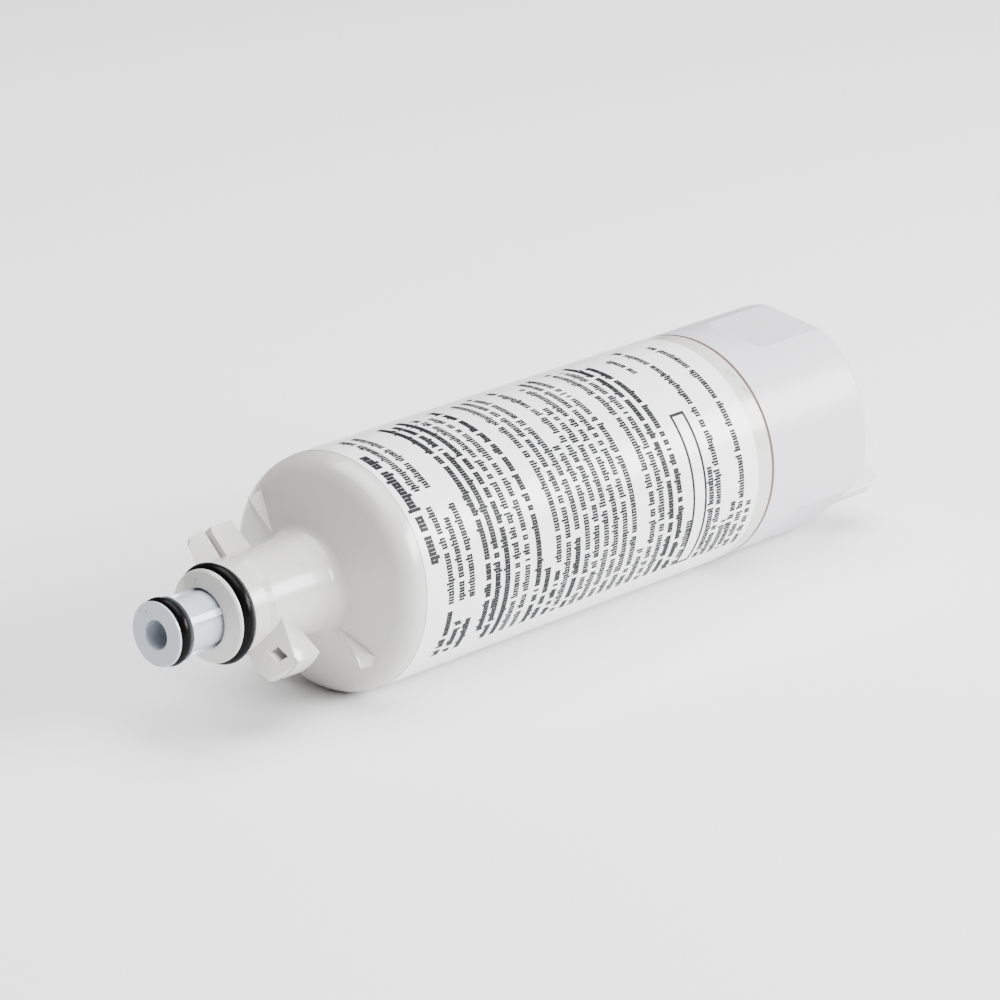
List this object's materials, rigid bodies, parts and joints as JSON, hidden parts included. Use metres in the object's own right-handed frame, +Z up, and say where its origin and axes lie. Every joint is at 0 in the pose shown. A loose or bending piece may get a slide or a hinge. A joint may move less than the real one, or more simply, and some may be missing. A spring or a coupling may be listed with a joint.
{
  "type": "fridge water filter cartridge",
  "caption": "Cylindrical inline water filter cartridge with a sealed neck, outlet nozzle, bayonet lugs and a rear turning plate.",
  "frame": {"origin": "centre of the neck's front face, on the cartridge's axis", "axes": "+X along the axis from front to rear, +Z up as it lies on its side"},
  "size_m": [0.256, 0.0624, 0.0624],
  "materials": {
    "housing_plastic": "moulded, glossy",
    "cap_plastic": "moulded, glossy",
    "label_film": "printed film",
    "nozzle_plastic": "moulded, glossy",
    "seal_rubber": "greased",
    "element_plastic": "moulded",
    "carbon": "pressed, matte",
    "fleece": "felted"
  },
  "bodies": {
    "root": {"housing": "housing_plastic", "end_cap": "cap_plastic", "label": "label_film", "nozzle": "nozzle_plastic", "nozzle_o_ring": "seal_rubber", "neck_o_ring": "seal_rubber", "tail_o_ring": "seal_rubber", "element_front_cap": "element_plastic", "element_rear_cap": "element_plastic", "carbon_block": "carbon", "prefilter_wrap": "fleece", "core_fleece": "fleece"}
  },
  "joints": []
}
